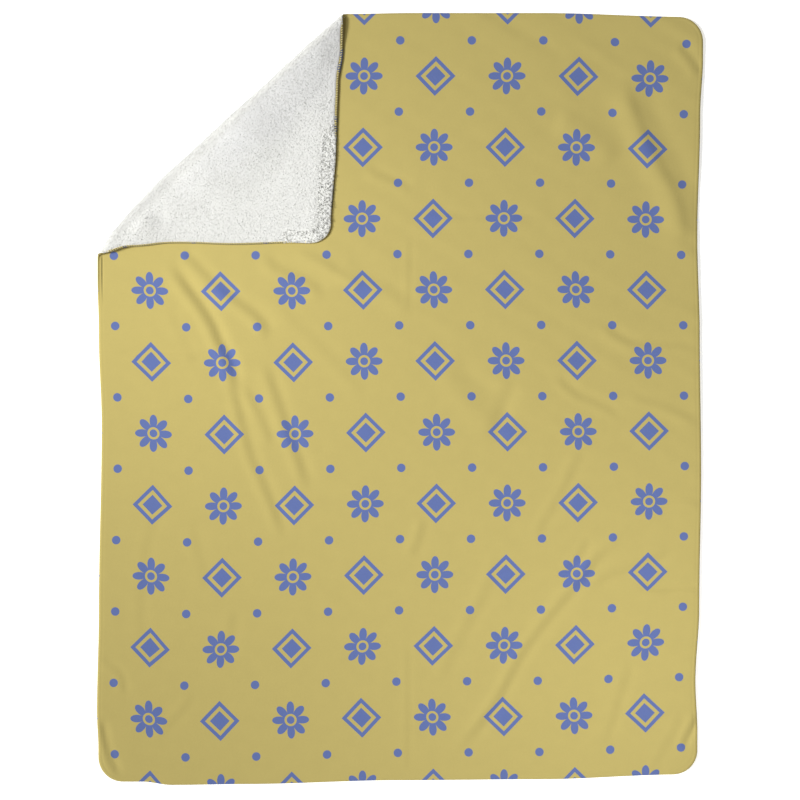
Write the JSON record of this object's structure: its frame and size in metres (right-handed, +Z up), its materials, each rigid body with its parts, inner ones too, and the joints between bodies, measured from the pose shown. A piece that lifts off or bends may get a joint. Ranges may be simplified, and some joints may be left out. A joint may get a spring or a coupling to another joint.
{
  "type": "fleece blanket",
  "caption": "Plush-faced fleece blanket with a curly-pile back, lying flat with a corner turned over, used to keep warm or to cover a bed or a sofa.",
  "frame": {"origin": "On the surface that the blanket lies on, under the middle of its outline.", "axes": "+Z is up, away from the surface. +Y runs along the length to the top edge. +X runs across the width to the right side, so the turned-over corner is at -X, +Y."},
  "size_m": [1.2719, 1.62, 0.0337],
  "materials": {
    "plush_face": "matt",
    "curly_pile": "matt"
  },
  "bodies": {
    "root": {"face_panel": "plush_face", "back_panel": "curly_pile"}
  },
  "joints": []
}
